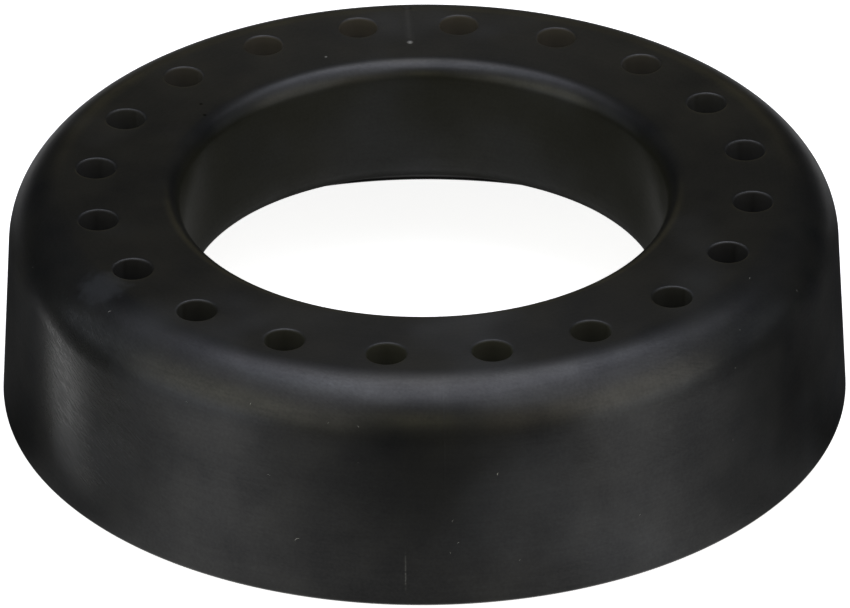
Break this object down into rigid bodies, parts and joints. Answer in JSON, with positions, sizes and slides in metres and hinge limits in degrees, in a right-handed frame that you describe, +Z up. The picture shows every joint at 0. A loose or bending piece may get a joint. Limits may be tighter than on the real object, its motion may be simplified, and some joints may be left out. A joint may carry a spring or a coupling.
{
  "type": "coil spring insulator",
  "caption": "Black rubber ring with a thick holed flange, a rounded top edge and a thin skirt that cups the end of a suspension coil spring.",
  "frame": {"origin": "on the ring's axis, in the plane of the rim that it stands on", "axes": "+Z up along the ring's axis, from the rim to the holed top face; +X and +Y each midway between two holes"},
  "size_m": [0.14, 0.14, 0.0379],
  "materials": {
    "moulded_rubber": "satin"
  },
  "bodies": {
    "root": {"insulator": "moulded_rubber"}
  },
  "joints": []
}
